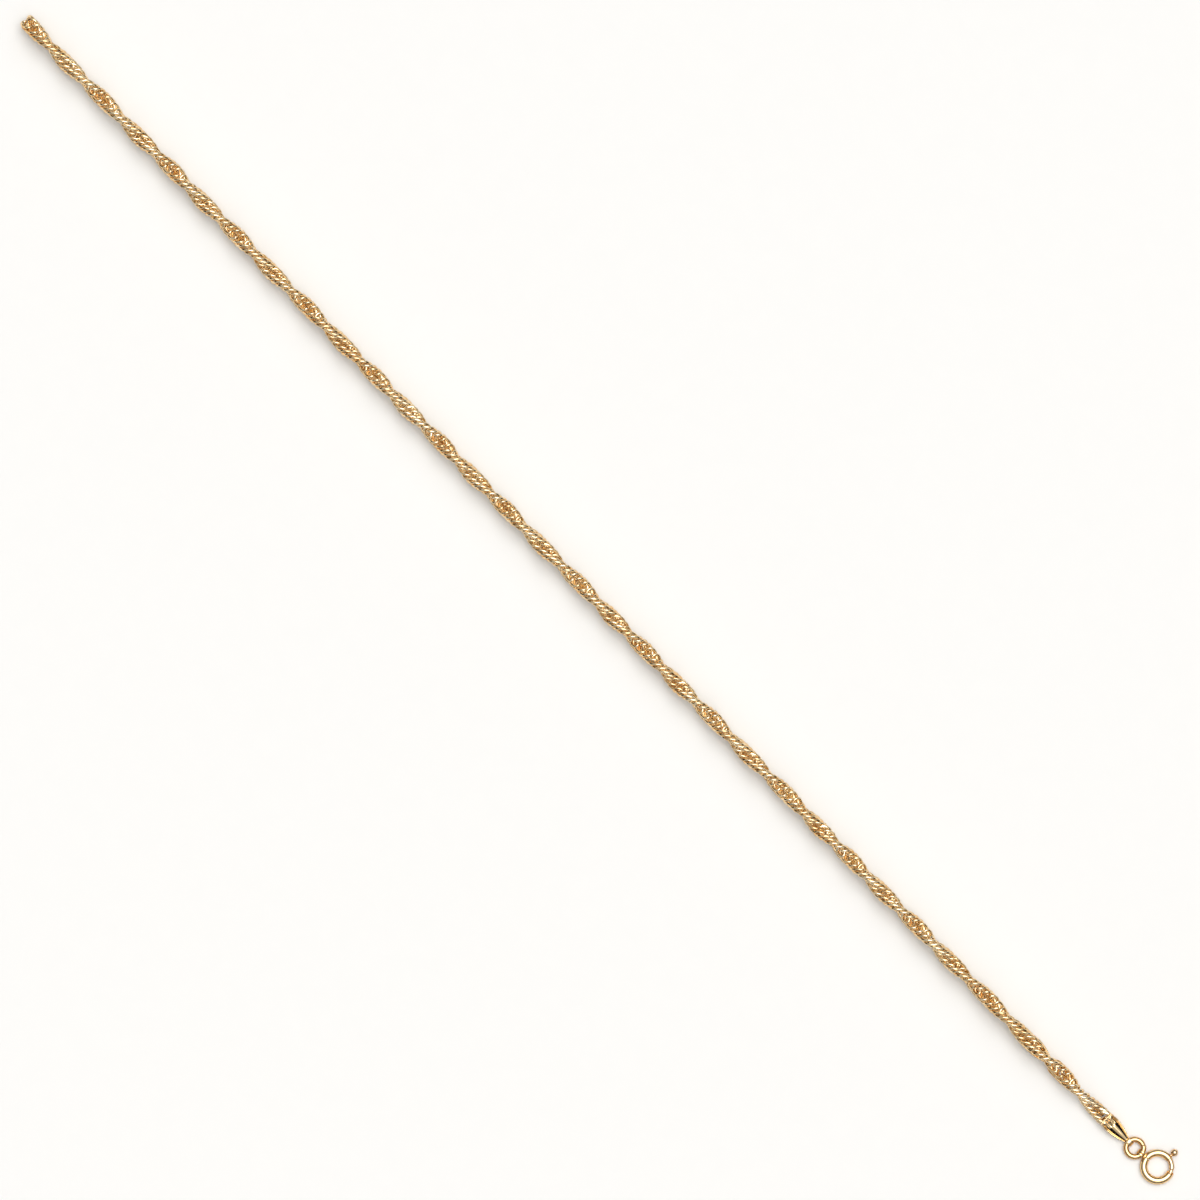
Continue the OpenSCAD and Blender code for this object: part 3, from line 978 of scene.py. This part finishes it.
studioSpec = {
    "floorSize": 30000.0,
    "floorColor": (0.93, 0.925, 0.915),
    "floorGrain": (300.0, 3.0),  # cells a metre, detail
    "grainTone": 0.985,  # share of the floor's brightness in its grain
    "floorRoughness": 0.9,
    "floorGloss": 0.2,
    "lightColor": (1.0, 0.992, 0.975),  # of all surroundings
    "zenith": 0.76,  # brightness of the ceiling's middle
    "ceilingEdge": 0.62,  # and of its edge
    "sideways": 0.2,  # by how much more light comes from the upper side of the picture
    "lampWay": (0.0, 0.208, 0.978),  # towards the middle of the lamp
    "lampFade": (0.89, 0.955),  # cosines of the angles at which the lamp fades out and is full
    "lamp": 3.9,
    "ceilingFade": (0.42, 0.60),  # heights between which the ceiling goes from dark to bright
    "horizon": 0.55,
    "horizonFade": (0.05, 0.16),  # heights between which the horizon goes from pale to dark
    "wall": 0.015,
}


def makeFloor(spec):
    half = spec["floorSize"] / 2 * mm
    corners = [(-half, -half, 0), (half, -half, 0), (half, half, 0), (-half, half, 0)]
    mesh = bpy.data.meshes.new("paleFloor")
    mesh.from_pydata(corners, [], [(0, 1, 2, 3)])
    material, nodes, links, shader = newMaterial("palePaper")
    shader.inputs["Roughness"].default_value = spec["floorRoughness"]
    shader.inputs["Specular IOR Level"].default_value = spec["floorGloss"]
    coords = nodes.new("ShaderNodeTexCoord")
    grain = noiseNode(nodes, links, coords, *spec["floorGrain"])
    ramp = nodes.new("ShaderNodeValToRGB")
    ramp.color_ramp.elements[0].color = (*[c * spec["grainTone"] for c in spec["floorColor"]], 1.0)
    ramp.color_ramp.elements[1].color = (*spec["floorColor"], 1.0)
    links.new(grain.outputs["Fac"], ramp.inputs["Fac"])
    links.new(ramp.outputs["Color"], shader.inputs["Base Color"])
    mesh.materials.append(material)
    floor = bpy.data.objects.new("paleFloor", mesh)
    bpy.context.scene.collection.objects.link(floor)


# Surroundings of a light tent: bright overhead, dark round about, pale again at the floor's far edge
def makeWorld(spec):
    world = bpy.data.worlds.new("lightTent")
    bpy.context.scene.world = world
    world.use_nodes = True
    nodes = world.node_tree.nodes
    links = world.node_tree.links
    nodes.clear()
    output = nodes.new("ShaderNodeOutputWorld")
    background = nodes.new("ShaderNodeBackground")
    links.new(background.outputs["Background"], output.inputs["Surface"])
    coords = nodes.new("ShaderNodeTexCoord")
    split = nodes.new("ShaderNodeSeparateXYZ")
    links.new(coords.outputs["Generated"], split.inputs["Vector"])

    def ranged(source, fromMin, fromMax, toMin, toMax, way):
        node = nodes.new("ShaderNodeMapRange")
        node.interpolation_type = way
        labels = ("From Min", "From Max", "To Min", "To Max")
        for label, value in zip(labels, (fromMin, fromMax, toMin, toMax)):
            node.inputs[label].default_value = value
        links.new(source, node.inputs["Value"])
        return node.outputs["Result"]

    def combined(way, first, second):
        node = nodes.new("ShaderNodeMath")
        node.operation = way
        links.new(first, node.inputs[0])
        links.new(second, node.inputs[1])
        return node.outputs["Value"]

    low, high = spec["ceilingFade"]
    height = split.outputs["Z"]
    ceiling = ranged(height, high, 1.0, spec["ceilingEdge"], spec["zenith"], "LINEAR")
    tilted = ranged(split.outputs["Y"], -1.0, 1.0, -spec["sideways"], spec["sideways"], "LINEAR")
    shown = ranged(height, low, high, 0.0, 1.0, "SMOOTHSTEP")
    towards = nodes.new("ShaderNodeVectorMath")
    towards.operation = "DOT_PRODUCT"
    links.new(coords.outputs["Generated"], towards.inputs[0])
    towards.inputs[1].default_value = spec["lampWay"]
    lamp = ranged(towards.outputs["Value"], *spec["lampFade"], 0.0, spec["lamp"], "SMOOTHSTEP")
    lit = combined("MULTIPLY", combined("ADD", ceiling, tilted), shown)
    lit = combined("ADD", lit, lamp)
    edge = ranged(height, *spec["horizonFade"], spec["horizon"], spec["wall"], "SMOOTHSTEP")
    links.new(combined("MAXIMUM", lit, edge), background.inputs["Strength"])
    background.inputs["Color"].default_value = (*spec["lightColor"], 1.0)


makeFloor(studioSpec)
makeWorld(studioSpec)
bpy.context.scene.view_settings.view_transform = "Standard"
print("studio made")
